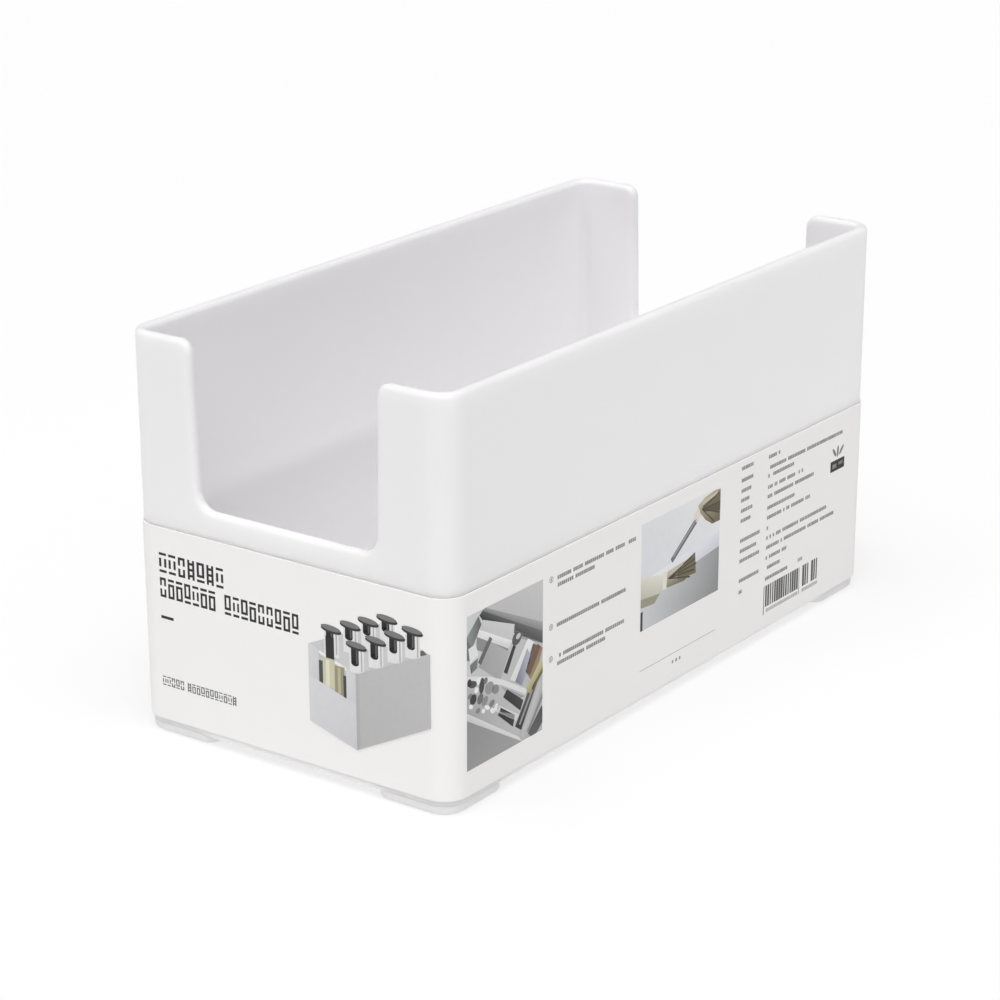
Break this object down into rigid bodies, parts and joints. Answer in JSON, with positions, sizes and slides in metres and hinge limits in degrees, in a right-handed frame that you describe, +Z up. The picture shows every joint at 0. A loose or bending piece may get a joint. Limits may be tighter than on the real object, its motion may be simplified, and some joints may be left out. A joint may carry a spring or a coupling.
{
  "type": "drawer organizer bin",
  "caption": "Small open-topped storage bin for a drawer or cabinet, with a deep U-shaped notch in each end wall, low foot pads and a removable printed card sleeve.",
  "frame": {"origin": "on the floor, below the centre of the bin", "axes": "+Z up, +Y along the bin's length towards its rear end, +X across its width; the printed front end faces -Y"},
  "size_m": [0.0706, 0.1406, 0.075],
  "materials": {
    "white_plastic": "satin",
    "foot_elastomer": "matte",
    "printed_card": "smooth uncoated, printed in greys"
  },
  "bodies": {
    "bin": {"bin_shell": "white_plastic", "foot_pad_front_left": "foot_elastomer", "foot_pad_front_right": "foot_elastomer", "foot_pad_rear_left": "foot_elastomer", "foot_pad_rear_right": "foot_elastomer"},
    "sleeve": {"card_sleeve": "printed_card"}
  },
  "joints": [
    {"name": "sleeve_pull", "type": "slide", "parent": "bin", "child": "sleeve", "axis": [0, 0, 1], "range_m": [0, 0.078]}
  ]
}
